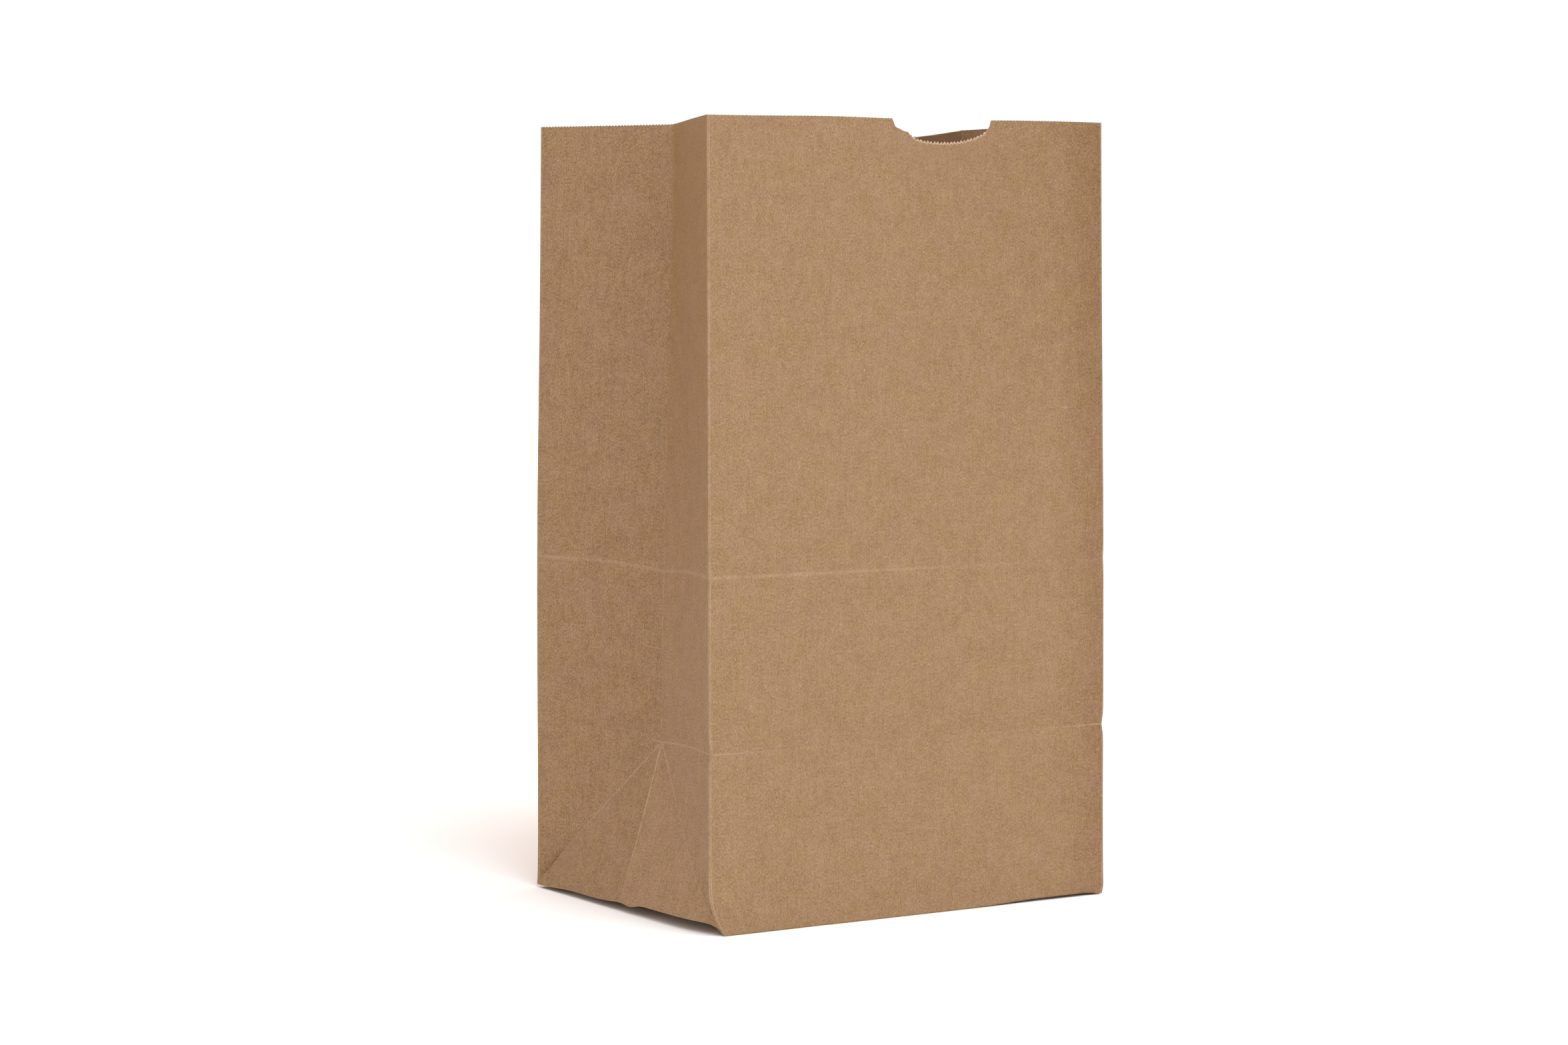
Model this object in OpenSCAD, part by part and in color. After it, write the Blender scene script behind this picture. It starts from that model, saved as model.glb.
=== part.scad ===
// Standing kraft paper bag with a square bottom and gusseted sides.
// One sheet makes the whole bag. Each panel between two creases is a sub-part here.
// X runs along the front panel, Y from front to back and Z up from the centre of the base.
// Inner faces carry the fold lines, so that panels close on each other without crossing.

/* [Bag] */
// Width of the front panel
bag_w = 206; // [180:1:300]
// Depth of the base from front to back
bag_d = 151; // [135:1:170]
// Length of a wall from the bottom crease to the top edge
bag_h = 345; // [300:1:450]
// Thickness of the paper
paper = 0.18; // [0.12:0.02:0.3]

/* [Gusset] */
// How far the centre crease of a side stands in from the side edges at the top
crease_in = 25; // [12:1:36]
// How far it stands in where the lower side triangle ends
apex_in = 20; // [10:1:26]
// Free strip between an outer side triangle and the inner facet beside it
fold_gap = 0.4; // [0.2:0.1:1]
// Strip left free around a crease between two panels of one gusset
crease_gap = 0.1; // [0.05:0.05:0.3]
// Width cut off the tip of an outer side triangle, so that two tips pass each other
tip_cut_w = 18; // [17:1:30]
// Height of that cut
tip_cut_h = 44; // [40:1:60]
// How far below the top edge an inner facet ends, so that the outer triangle passes it
facet_drop = 16; // [14:1:40]

/* [Thumb notch] */
// Width of the notch at the top edge
notch_w = 54; // [30:1:70]
// Depth of the notch
notch_depth = 8.6; // [5:0.2:15]
// Distance of the notch from the middle of the front panel
notch_x = 16.5; // [-40:0.5:40]

/* [Seam] */
// Width of the long lap seam on the back panel
seam_w = 20; // [10:1:30]
// Distance of the seam from the middle of the back panel
seam_x = 62; // [40:1:70]
// Thickness of a paste film
paste = 0.1; // [0.06:0.02:0.16]
// Border of a lap that the paste leaves free
paste_border = 2; // [1:0.5:4]

/* [Bottom] */
// Overlap of the front and back bottom flaps
bottom_lap = 24; // [12:1:40]
// Gap between the front flap's edge and the step in the back flap
lap_step_gap = 1; // [0.5:0.25:2]
// Depth of the tucked-in side flaps
tuck_depth = 62; // [40:1:68]
// Distance of a tucked flap from the front and back walls
tuck_gap = 1; // [0.5:0.25:2]

/* [Hidden] */
$fn = 96;

kraft_front = "#c3a081";
kraft_side = "#ad8b6d";
kraft_inside = "#9c7b5f";
paste_colour = "#d9c7a6";

half_w = bag_w / 2;
half_d = bag_d / 2;
fold_x = half_w - paper;              // fold lines at the side edges
fold_y = half_d - paper;              // fold lines at the front and back of the base
lap_y = bottom_lap / 2 + lap_step_gap; // where the back flap steps up over the front flap
lap_z = paper + paste;                // underside of the raised lap
tuck_z = lap_z + paper + paste;       // underside of the tucked flaps
base_t = tuck_z + paper;              // top of the base, where the gussets fold

// Rest shape. The outer triangle turns by outer_turn, the wall leans in until the tips of the
// front and back triangles meet, and the gusset leans in until it holds the same point.
outer_turn = asin(crease_in / fold_y);
reach = fold_y * cos(outer_turn);
wall_lean = asin(fold_y / norm([bag_h, reach])) - atan2(reach, bag_h);
tip_z = paper + bag_h * cos(wall_lean) - reach * sin(wall_lean);
lower_lean = asin(apex_in / fold_y);

// Corners of the left gusset's inner faces: corner, middle of the base edge, apex and tip
gusset_corner = [-fold_x, -fold_y, base_t];
gusset_middle = [-fold_x, 0, base_t];
gusset_apex = [-fold_x + apex_in, 0, base_t + fold_y * cos(lower_lean)];
gusset_tip = [-fold_x + crease_in, 0, tip_z];
facet_tip = gusset_tip + facet_drop * (gusset_apex - gusset_tip) / norm(gusset_apex - gusset_tip);

function unit(v) = v / norm(v);

// Line through a and b, moved to its left by d, as [point, direction]
function moved_line(a, b, d) = let (u = unit(b - a)) [a + d * [-u[1], u[0]], u];

// Point where two such lines cross
function meet(m, n) =
    let (w = n[0] - m[0], turn = m[1][0] * n[1][1] - m[1][1] * n[1][0])
    m[0] + m[1] * (w[0] * n[1][1] - w[1] * n[1][0]) / turn;

// Anticlockwise outline with edge i moved inwards by gaps[i]
function inset(outline, gaps) =
    let (
        n = len(outline),
        edges = [for (i = [0:n - 1]) moved_line(outline[i], outline[(i + 1) % n], gaps[i])]
    )
    [for (i = [0:n - 1]) meet(edges[(i + n - 1) % n], edges[i])];

// Triangular panel whose inner face has corners a, b, c, anticlockwise as seen from outside
module facet(a, b, c, gaps) {
    u = unit(b - a);
    n = unit(cross(u, c - a));
    v = cross(n, u);
    outline = [[0, 0], [norm(b - a), 0], [(c - a) * u, (c - a) * v]];
    multmatrix([
        [u[0], v[0], n[0], a[0]],
        [u[1], v[1], n[1], a[1]],
        [u[2], v[2], n[2], a[2]]
    ])
        linear_extrude(height = paper) polygon(inset(outline, gaps));
}

// Puts a panel drawn in X and height on the front wall, with its inner face on the fold line
module on_front() {
    translate([0, -fold_y, paper]) rotate([90 - wall_lean, 0, 0]) linear_extrude(height = paper)
        children();
}

module on_back() {
    mirror([0, 1, 0]) on_front() children();
}

// Band of a wall between two heights
module wall_band(low, high) {
    translate([-half_w, low]) square([bag_w, high - low]);
}

// Outline of the front's upper band, with the round thumb notch in its top edge
module notched_band() {
    notch_r = (notch_w * notch_w / 4 + notch_depth * notch_depth) / (2 * notch_depth);
    difference() {
        wall_band(bag_d, bag_h);
        translate([notch_x, bag_h - notch_depth + notch_r]) circle(r = notch_r, $fn = 180);
    }
}

// Half of the lower side triangle, which slopes in from the base
module gusset_lower() {
    facet(gusset_middle, gusset_corner, gusset_apex, [0, crease_gap, 0]);
}

// Facet between the diagonal and the centre crease
module gusset_inner() {
    facet(gusset_corner, facet_tip, gusset_apex, [fold_gap, crease_gap, crease_gap]);
}

// Triangle between a wall's side edge and the diagonal, turned in about the side edge
module gusset_outer() {
    cut_v = bag_h - tip_cut_h;
    diagonal = inset(
        [[0, 0], [fold_y * cut_v / bag_h, cut_v], [0, cut_v]],
        [fold_gap, 0, 0]
    );
    outline = [
        diagonal[0],
        diagonal[1],
        [fold_y - tip_cut_w, bag_h],
        [0, bag_h]
    ];
    translate([-fold_x, -fold_y, paper]) rotate([-wall_lean, 0, 0])
        rotate([0, 0, 90 - outer_turn]) rotate([90, 0, 0])
            translate([0, 0, -paper]) linear_extrude(height = paper) polygon(outline);
}

module to_back() {
    mirror([0, 1, 0]) children();
}

module to_right() {
    mirror([1, 0, 0]) children();
}

// Bottom
module front_flap() {
    color(kraft_front)
        translate([-half_w, -half_d, 0]) cube([bag_w, half_d + bottom_lap / 2, paper]);
}

module back_flap() {
    color(kraft_side)
        translate([-half_w, lap_y, 0]) cube([bag_w, half_d - lap_y, paper]);
}

// Edge of the back flap, which steps up and is pasted on the front flap
module back_flap_lap() {
    color(kraft_side) union() {
        translate([-half_w, lap_y, paper]) cube([bag_w, paper, lap_z]);
        translate([-half_w, -bottom_lap / 2, lap_z])
            cube([bag_w, lap_y + paper + bottom_lap / 2, paper]);
    }
}

module left_tuck() {
    tuck_half = fold_y - tuck_gap;
    color(kraft_inside)
        translate([-half_w, 0, tuck_z]) linear_extrude(height = paper)
            polygon([
                [0, -tuck_half],
                [tuck_depth, tuck_depth - tuck_half],
                [tuck_depth, tuck_half - tuck_depth],
                [0, tuck_half]
            ]);
}

module right_tuck() {
    to_right() left_tuck();
}

// Paste in the bottom lap, and between the lap and the tucked flaps
module bottom_paste() {
    strip_w = bottom_lap - 2 * paste_border;
    tab_half = min(strip_w / 2, fold_y - tuck_gap - tuck_depth - paste_border);
    color(paste_colour) {
        translate([-half_w + paste_border, -strip_w / 2, paper])
            cube([bag_w - 2 * paste_border, strip_w, paste]);
        for (side = [0, 1]) mirror([side, 0, 0])
            translate([-half_w + paste_border, -tab_half, tuck_z - paste])
                cube([tuck_depth - 2 * paste_border, 2 * tab_half, paste]);
    }
}

// Front wall, from the bottom to the top
module front_lower() {
    color(kraft_front) on_front() wall_band(0, half_d);
}

module front_middle() {
    color(kraft_front) on_front() wall_band(half_d, bag_d);
}

module front_upper() {
    color(kraft_front) on_front() notched_band();
}

// Back wall
module back_lower() {
    color(kraft_side) on_back() wall_band(0, half_d);
}

module back_middle() {
    color(kraft_side) on_back() wall_band(half_d, bag_d);
}

module back_upper() {
    color(kraft_side) on_back() wall_band(bag_d, bag_h);
}

// Strip parallel to the back wall, on its inner side
module seam_strip(width, thick, lift) {
    end_gap = 2 * paste_border;
    mirror([0, 1, 0]) translate([0, -fold_y, paper]) rotate([90 - wall_lean, 0, 0])
        translate([seam_x - width / 2, end_gap, -lift - thick])
            cube([width, bag_h - 2 * end_gap, thick]);
}

module seam_paste() {
    color(paste_colour) seam_strip(seam_w - 2 * paste_border, paste, 0);
}

module seam_lap() {
    color(kraft_inside) seam_strip(seam_w, paper, paste);
}

// Left side
module left_lower_front() {
    color(kraft_side) gusset_lower();
}

module left_lower_back() {
    color(kraft_side) to_back() gusset_lower();
}

module left_inner_front() {
    color(kraft_inside) gusset_inner();
}

module left_inner_back() {
    color(kraft_inside) to_back() gusset_inner();
}

module left_outer_front() {
    color(kraft_side) gusset_outer();
}

module left_outer_back() {
    color(kraft_side) to_back() gusset_outer();
}

// Right side
module right_lower_front() {
    to_right() left_lower_front();
}

module right_lower_back() {
    to_right() left_lower_back();
}

module right_inner_front() {
    to_right() left_inner_front();
}

module right_inner_back() {
    to_right() left_inner_back();
}

module right_outer_front() {
    to_right() left_outer_front();
}

module right_outer_back() {
    to_right() left_outer_back();
}

front_flap();
back_flap();
back_flap_lap();
left_tuck();
right_tuck();
bottom_paste();
front_lower();
front_middle();
front_upper();
back_lower();
back_middle();
back_upper();
seam_lap();
seam_paste();
left_lower_front();
left_lower_back();
left_inner_front();
left_inner_back();
right_lower_front();
right_lower_back();
right_inner_front();
right_inner_back();
left_outer_front();
left_outer_back();
right_outer_front();
right_outer_back();
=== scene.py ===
"""Open kraft paper bag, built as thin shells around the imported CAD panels. Lengths are in millimetres."""

import math

import bpy
import numpy as np
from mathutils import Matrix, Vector


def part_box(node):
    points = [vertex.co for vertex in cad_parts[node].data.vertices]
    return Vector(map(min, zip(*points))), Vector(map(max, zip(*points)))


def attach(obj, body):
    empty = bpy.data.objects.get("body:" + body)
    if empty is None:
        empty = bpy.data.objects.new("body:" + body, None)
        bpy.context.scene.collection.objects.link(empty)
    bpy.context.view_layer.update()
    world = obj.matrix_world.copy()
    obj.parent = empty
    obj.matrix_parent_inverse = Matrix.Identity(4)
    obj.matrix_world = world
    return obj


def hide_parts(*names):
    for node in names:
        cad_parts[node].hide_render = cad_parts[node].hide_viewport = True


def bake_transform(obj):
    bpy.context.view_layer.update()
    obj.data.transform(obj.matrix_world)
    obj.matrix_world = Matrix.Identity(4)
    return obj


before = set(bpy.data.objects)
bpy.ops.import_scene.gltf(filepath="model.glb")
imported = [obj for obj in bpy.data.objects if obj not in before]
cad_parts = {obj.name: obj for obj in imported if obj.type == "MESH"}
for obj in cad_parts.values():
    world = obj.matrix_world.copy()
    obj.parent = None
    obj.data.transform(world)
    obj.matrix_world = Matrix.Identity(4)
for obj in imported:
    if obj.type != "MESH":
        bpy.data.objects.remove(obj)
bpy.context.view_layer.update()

MM = 1000.0  # millimetres in a metre


def node_box(node):
    """Lowest and highest corner of a CAD node."""
    low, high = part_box(node)
    return np.array(low) * MM, np.array(high) * MM


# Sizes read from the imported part
flap_low, flap_high = node_box("front_flap")
wall_low, wall_high = node_box("front_upper")
tuck_low, tuck_high = node_box("left_tuck")
lap_low, lap_high = node_box("back_flap_lap")
seam_low, seam_high = node_box("seam_lap")
HALF_W = flap_high[0]
HALF_D = -flap_low[1]
PAPER = flap_high[2] - flap_low[2]
FLAP_END = flap_high[1]
LAP_END = lap_low[1]
LAP_Z = lap_high[2] - PAPER
LAP_STEP = lap_high[1]
TUCK_Z = tuck_low[2]
TUCK_IN = tuck_high[0] + HALF_W
TUCK_HALF = tuck_high[1]
WALL_RUN = wall_high[1] + HALF_D - PAPER
WALL_RISE = wall_high[2] - PAPER
LEAN = math.atan2(WALL_RUN, WALL_RISE)
HEIGHT = math.hypot(WALL_RUN, WALL_RISE)
SEAM_LEFT, SEAM_RIGHT = seam_low[0], seam_high[0]

# Folds, as in part.scad
CREASE_IN = 25.0  # depth of the centre crease at the top
APEX_IN = 20.0    # and at the apex of the lower side triangle
TURN = math.asin(CREASE_IN / HALF_D)
FIRST_FOLD, SECOND_FOLD = HALF_D, 2 * HALF_D  # heights of the storage folds, across the flat bag

SHELL = 0.24        # shown thickness of the paper
GLUE = 0.1          # thickness of the paste in the seam
EDGE_RADIUS = 0.75  # radius of the fold between a wall and a side
FACET_CURVE = 1.6   # power of the curve between a diagonal and the centre crease
LOWEST = 1e-4       # stands in for height 0, where a triangle's width would vanish
SIDES = (-1, 1)


# ---------------------------------------------------------------- camera
CAMERA_AT = (-0.8773, -1.3640, 0.2758)    # metres
CAMERA_DOWN, CAMERA_TURN = 3.815, -32.19  # degrees below level, and about the z axis from the y axis
CAMERA_LENS, CAMERA_SENSOR = 82.65, 36


def make_camera():
    """Camera in front of the bag's left side, tipped down a little."""
    camera = bpy.data.objects.new("camera", bpy.data.cameras.new("camera"))
    bpy.context.scene.collection.objects.link(camera)
    camera.location = CAMERA_AT
    camera.rotation_euler = (math.radians(90 - CAMERA_DOWN), 0, math.radians(CAMERA_TURN))
    camera.data.sensor_width = CAMERA_SENSOR
    camera.data.lens = CAMERA_LENS
    bpy.context.scene.camera = camera


# ---------------------------------------------------------------- shape of the standing bag
# A rise is an amount and the two places between which it comes in.
LEFT_LIFT, RIGHT_LIFT, FRONT_LIFT, BACK_LIFT = 1.3, 0.4, 1.3, 0.6  # of the bottom's edges off the floor
LEFT_RISES = ((1.6, 76, 41), (2.3, 25, -20))  # the left edge lifts more towards the front
LEFT_DIP, LEFT_DIP_AT = 1.4, -9               # and hangs lower where its centre crease ends
FRONT_TOP, FRONT_TOP_RISES = 0.4, ((0.9, -40, 60), (0.5, 20, 80))  # the front's top edge isn't quite level
FRONT_TOP_BUMP, FRONT_TOP_BUMP_AT = 0.8, -40
BACK_TOP = 0.6

MID_HEIGHT = 150        # the height about which the bag leans and narrows, and where it is fullest
MOUTH_DEEPER = 0.0219   # how much deeper the mouth is than the bottom
DEEPER, WIDER_LEFT, WIDER_RIGHT = 0.005, 0.0045, 0.0085
FULLER_DEPTH, FULLER_LEFT = 0.016, 0.0065
FRONT_LEAN = 0.52       # how far the front leans to the right over its height
NARROWER = 0.0102       # towards the top
CREASE_LOW, CREASE_HIGH = 0.9, 0.7     # the centre creases stand further in: above the foot, more at the top
CREASE_FORWARD = 1.3
LEFT_TUCK, LEFT_TUCK_HEIGHT = 7.9, 21  # the front feet are tucked in, the left one clearly
RIGHT_TUCK, RIGHT_TUCK_HEIGHT = 1.2, 5
NICKS = ((FIRST_FOLD, 0.9), (SECOND_FOLD, 0.35))  # height and depth of the folds' nicks in the side edges
STRETCH = 2.0           # of the panels, most of it at the first storage fold

RIPPLE, RIPPLE_SEED, RIPPLE_WAVES = 0.11, 12, (95.0, 60.0, 38.0, 24.0)


def smooth(t):
    """Soft step from 0 to 1."""
    t = np.clip(t, 0, 1)
    return t * t * (3 - 2 * t)


def ramp(value, start, end):
    """Soft step that is 0 at start and 1 at end."""
    return smooth((value - start) / (end - start))


def rises(value, base, parts):
    """The base and all the rises that come in at a place."""
    return base + sum(amount * ramp(value, start, end) for amount, start, end in parts)


def bell(t):
    """Bump of height 1 about 0."""
    return np.exp(-np.square(t))


def floor_gap(x, y):
    """How far the edges of the bottom stand off the floor. The middle rests on it."""
    from_front, from_back = y + HALF_D, HALF_D - y
    from_left, from_right = x + HALF_W, HALF_W - x
    left = rises(y, LEFT_LIFT, LEFT_RISES)
    left = left - LEFT_DIP * bell((y - LEFT_DIP_AT) / 6) * np.exp(-from_left / 3)
    left = left * ramp(from_left, 70, 25) * (1 - np.exp(-from_front / 2.5))
    right = RIGHT_LIFT * ramp(from_right, 60, 15)
    front = FRONT_LIFT * ramp(x, 25, 70) * (1 - 0.75 * ramp(x, 94, HALF_W)) * ramp(from_front, 47, 12)
    back = BACK_LIFT * ramp(from_back, 50, 10)
    return np.cbrt(left ** 3 + right ** 3 + front ** 3 + back ** 3)


def foot_tuck(depth, height, power, up):
    """How far a foot is tucked in at a height, fading to nothing."""
    return depth * np.clip(1 - up / height, 0, 1) ** power


def top_edge(x, front_share):
    """How far the top edge stands above the ideal one."""
    front = rises(x, FRONT_TOP, FRONT_TOP_RISES) + FRONT_TOP_BUMP * bell((x - FRONT_TOP_BUMP_AT) / 35)
    return front * front_share + BACK_TOP * (1 - front_share)


def settle(points):
    """Moves points of the ideal bag to where a real, slightly uneven one stands."""
    x, y, z = (points[..., i] for i in range(3))
    from_front = np.clip(y + HALF_D, 0, None)
    front_share = 1 - smooth(from_front / (2 * HALF_D))
    up = np.clip(z, 0, None)
    above_middle = (z - MID_HEIGHT) / HEIGHT
    # the bag is a little fuller at half height, the mouth spreads, and the front leans to the right
    fuller = bell((z - MID_HEIGHT) / 100)
    new_y = y * (1 + MOUTH_DEEPER * z / HEIGHT + DEEPER + FULLER_DEPTH * fuller)
    wider = np.where(x < 0, WIDER_LEFT + FULLER_LEFT * fuller, WIDER_RIGHT)
    new_x = x * (1 + wider) + FRONT_LEAN * above_middle * front_share
    # the centre creases of the sides stand in a little, and towards the front
    crease = bell(y / 40)
    inward = CREASE_LOW * smooth(z / 60) + CREASE_HIGH * z / HEIGHT
    new_x = new_x - np.sign(x) * crease * inward
    new_y = new_y - CREASE_FORWARD * crease * z / HEIGHT
    # the lower front corners are tucked in
    near_front = np.exp(-from_front / 9)
    left_tuck = foot_tuck(LEFT_TUCK, LEFT_TUCK_HEIGHT, 2.2, up)
    right_tuck = foot_tuck(RIGHT_TUCK, RIGHT_TUCK_HEIGHT, 2, up)
    new_x = new_x + left_tuck * (1 - smooth((x + HALF_W) / 45)) * near_front
    new_x = new_x - right_tuck * (1 - smooth((HALF_W - x) / 30)) * near_front
    # the folds of the flat bag notch the side edges
    for height, depth in NICKS:
        nick = depth * bell((z - height) / 3.5) * np.exp(-from_front / 12)
        new_x = new_x - nick * np.sign(x) * ramp(np.abs(x), HALF_W - 12, HALF_W)
    # the bottom's edges are lifted, and the panels stretch a little above them
    new_z = z + floor_gap(x, y) * np.clip(1 - up / 60, 0, 1) ** 2
    new_z = new_z + STRETCH * up / HALF_D * np.exp(1 - up / HALF_D)
    new_z = new_z + top_edge(x, front_share) * ramp(z, 200, 340)
    narrow = 1 - NARROWER * above_middle
    return np.stack([new_x * narrow, new_y * narrow, new_z], -1)


def ripple(u, v):
    """Gentle unevenness of the paper, as a height over the sheet."""
    rng = np.random.default_rng(RIPPLE_SEED)
    total = np.zeros(np.shape(u))
    for wave in RIPPLE_WAVES:
        for _ in range(3):
            angle, phase = rng.uniform(0, math.pi), rng.uniform(0, 2 * math.pi)
            along = u * math.cos(angle) + 0.6 * v * math.sin(angle)
            total = total + wave / RIPPLE_WAVES[0] * np.sin(2 * math.pi / wave * along + phase)
    return RIPPLE * total


def storage_folds(x, v, first, second):
    """The two folds across the flat bag: shallow valleys that fade over a few millimetres."""
    total = 0.0
    second_height = SECOND_FOLD - ramp(x, -20, 90)  # a little lower on the right
    for height, depth in ((FIRST_FOLD, first), (second_height, second)):
        away = v - height
        fade = np.where(away < 0, 10.0, 6.0)
        total = total - depth * np.exp(-np.sqrt(away ** 2 + 0.25) / fade)
    return total


def dent(x, y, start, end, width, depth):
    """A thin crease in the paper between two points."""
    run = np.subtract(end, start)
    along = np.clip(((x - start[0]) * run[0] + (y - start[1]) * run[1]) / (run @ run), 0, 1)
    away = np.hypot(x - start[0] - along * run[0], y - start[1] - along * run[1])
    return -depth * bell(away / width) * (1 - 0.6 * np.abs(2 * along - 1) ** 2)


# ---------------------------------------------------------------- ideal surfaces
def wall_frame(side):
    """Up, outward and foot of the front wall (side -1) or back wall (side 1)."""
    up = np.array([0, -side * math.sin(LEAN), math.cos(LEAN)])
    out = np.array([0, side * math.cos(LEAN), math.sin(LEAN)])
    return up, out, np.array([0, side * HALF_D, 0])


UP, _, _ = wall_frame(-1)
# from the side edge towards the centre crease, on the front triangle of the left side
ALONG = np.array([math.sin(TURN), math.cos(TURN) * math.cos(LEAN), -math.cos(TURN) * math.sin(LEAN)])
CORNER = np.array([-HALF_W, -HALF_D, 0.0])
APEX_DROP = 1.2  # the apex hangs a little lower than the ideal fold puts it
APEX = np.array([-HALF_W + APEX_IN, 0, HALF_D * math.cos(math.asin(APEX_IN / HALF_D)) - APEX_DROP])
MIDDLE = np.array([-HALF_W, 0.0, 0.0])
TIP = CORNER + HEIGHT * UP + HALF_D * ALONG


def edge_radius(v):
    """The rounded edge gets sharper towards the bottom corner."""
    return EDGE_RADIUS * v / (v + 6)


def edge_reach(v):
    """How much of each panel the rounded edge takes."""
    return edge_radius(v) / math.tan((math.pi / 2 - TURN) / 2)


def diagonal(v):
    """Distance of the diagonal from the side edge."""
    return HALF_D * v / HEIGHT


def mirrored(points, flip_x, flip_y):
    """Points of the left side's front half, moved to the half that the flips name."""
    return points * np.array([-1 if flip_x else 1, -1 if flip_y else 1, 1])


def outer_triangle(s, v):
    """Point at distance s from the side edge and height v, on the triangle beside the wall."""
    return CORNER + v[..., None] * UP + s[..., None] * ALONG


def inner_facet(s, v):
    """Between the diagonal and the centre crease, where the paper curves away from the outer triangle."""
    end = np.minimum(v, HALF_D)
    high = ((v - HALF_D) / (HEIGHT - HALF_D))[..., None]
    low = (v / HALF_D)[..., None]
    crease = np.where(high > 0, APEX + (TIP - APEX) * high, CORNER + (APEX - CORNER) * low)
    pull = crease - outer_triangle(end, v)
    w = np.clip((s - diagonal(v)) / np.maximum(end - diagonal(v), 1e-6), 0, 1)
    return outer_triangle(s, v) + pull * (w ** FACET_CURVE)[..., None]


def lower_triangle(s, v):
    """The same for the flat triangle at the foot of the side."""
    return CORNER + (s / HALF_D)[..., None] * (MIDDLE - CORNER) + (v / HALF_D)[..., None] * (APEX - MIDDLE)


# ---------------------------------------------------------------- meshes
def grid_faces(rows, columns, start=0):
    """Four-sided faces of a grid of points."""
    r, c = np.meshgrid(np.arange(rows - 1), np.arange(columns - 1), indexing="ij")
    a = (start + r * columns + c).ravel()
    return np.stack([a, a + 1, a + columns + 1, a + columns], -1)


def fringe_faces(coarse, fine, per):
    """Triangles between a row of points and a finer row above it."""
    faces = []
    for i in range(len(coarse) - 1):
        a, b = coarse[i], coarse[i + 1]
        row = fine[i * per:(i + 1) * per + 1]
        middle = per // 2
        faces += [(a, row[j + 1], row[j]) for j in range(middle)]
        faces.append((a, b, row[middle]))
        faces += [(b, row[j + 1], row[j]) for j in range(middle, per)]
    return faces


class Sheet:
    """Outer surface of a piece of paper: points, faces, place on the flat sheet, and how torn it is."""

    def __init__(self):
        self.points, self.faces, self.flat, self.torn = [], [], [], []
        self.count = 0

    def add_points(self, points, u, v, torn=None):
        points = np.asarray(points, float).reshape(-1, 3)
        flat = np.stack([np.ravel(u), np.ravel(v), np.zeros(len(points))], -1)
        self.points.append(points)
        self.flat.append(flat)
        self.torn.append(np.zeros(len(points)) if torn is None else np.ravel(torn))
        start = self.count
        self.count += len(points)
        return np.arange(start, self.count)

    def add_grid(self, points, u, v):
        rows, columns = points.shape[:2]
        ids = self.add_points(points, u, v)
        self.faces += [tuple(f) for f in grid_faces(rows, columns, ids[0])]
        return ids.reshape(rows, columns)

    def welded(self):
        """Points that coincide become one, and faces that collapse are dropped."""
        points, flat = np.concatenate(self.points), np.concatenate(self.flat)
        torn = np.concatenate(self.torn)
        _, first, back = np.unique(np.round(points, 4), axis=0, return_index=True, return_inverse=True)
        back = back.ravel()
        faces = []
        for face in self.faces:
            ring = [int(back[i]) for i in face]
            ring = [p for i, p in enumerate(ring) if p != ring[i - 1]]
            if len(set(ring)) == len(ring) >= 3:
                faces.append(tuple(ring))
        return points[first], faces, flat[first], torn[first]


def corner_normals(points, faces):
    """Area-weighted normals of the points."""
    normals = np.zeros_like(points)
    for size in (3, 4):
        group = np.array([f for f in faces if len(f) == size], int).reshape(-1, size)
        corners = points[group]
        if size == 3:
            across = np.cross(corners[:, 1] - corners[:, 0], corners[:, 2] - corners[:, 0])
        else:
            across = np.cross(corners[:, 2] - corners[:, 0], corners[:, 3] - corners[:, 1])
        for k in range(size):
            np.add.at(normals, group[:, k], across)
    return normals / np.maximum(np.linalg.norm(normals, axis=1, keepdims=True), 1e-12)


def border_edges(faces):
    """Edges with a face on one side only, in the faces' own direction."""
    edges = dict.fromkeys((a, face[(i + 1) % len(face)]) for face in faces for i, a in enumerate(face))
    return [(a, b) for a, b in edges if (b, a) not in edges]


def make_shell(name, sheet, relief=None, flip=False, thickness=SHELL, materials=None):
    """Turns a sheet into a closed thin solid. Material 0 is outside, 1 inside and 2 the cut edge."""
    points, faces, flat, torn = sheet.welded()
    if flip:
        faces = [tuple(reversed(f)) for f in faces]
    if relief is not None:
        normals = corner_normals(points, faces)
        points = points + normals * relief(flat[:, 0], flat[:, 1])[:, None]
    points = settle(points)
    normals = corner_normals(points, faces)
    inner = points - normals * thickness
    n = len(points)
    edges = border_edges(faces)
    solid = faces + [tuple(i + n for i in reversed(f)) for f in faces]
    solid += [(b, a, a + n, b + n) for a, b in edges]
    mesh = bpy.data.meshes.new(name)
    mesh.from_pydata((np.concatenate([points, inner]) / MM).tolist(), [], solid)
    index = [0] * len(faces) + [1] * len(faces) + [2] * len(edges)
    mesh.polygons.foreach_set("material_index", index)
    mesh.polygons.foreach_set("use_smooth", [i < 2 for i in index])
    layer = mesh.attributes.new("sheet", "FLOAT_VECTOR", "POINT")
    layer.data.foreach_set("vector", np.concatenate([flat, flat]).astype(np.float32).ravel())
    layer = mesh.attributes.new("torn", "FLOAT", "POINT")
    layer.data.foreach_set("value", np.concatenate([torn, torn]).astype(np.float32))
    for material in materials or PAPER_SKINS:
        mesh.materials.append(material)
    mesh.validate()
    mark_sharp_edges(mesh, np.concatenate([flat, flat]))
    piece = bpy.data.objects.new(name, mesh)
    bpy.context.scene.collection.objects.link(piece)
    return piece


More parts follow.
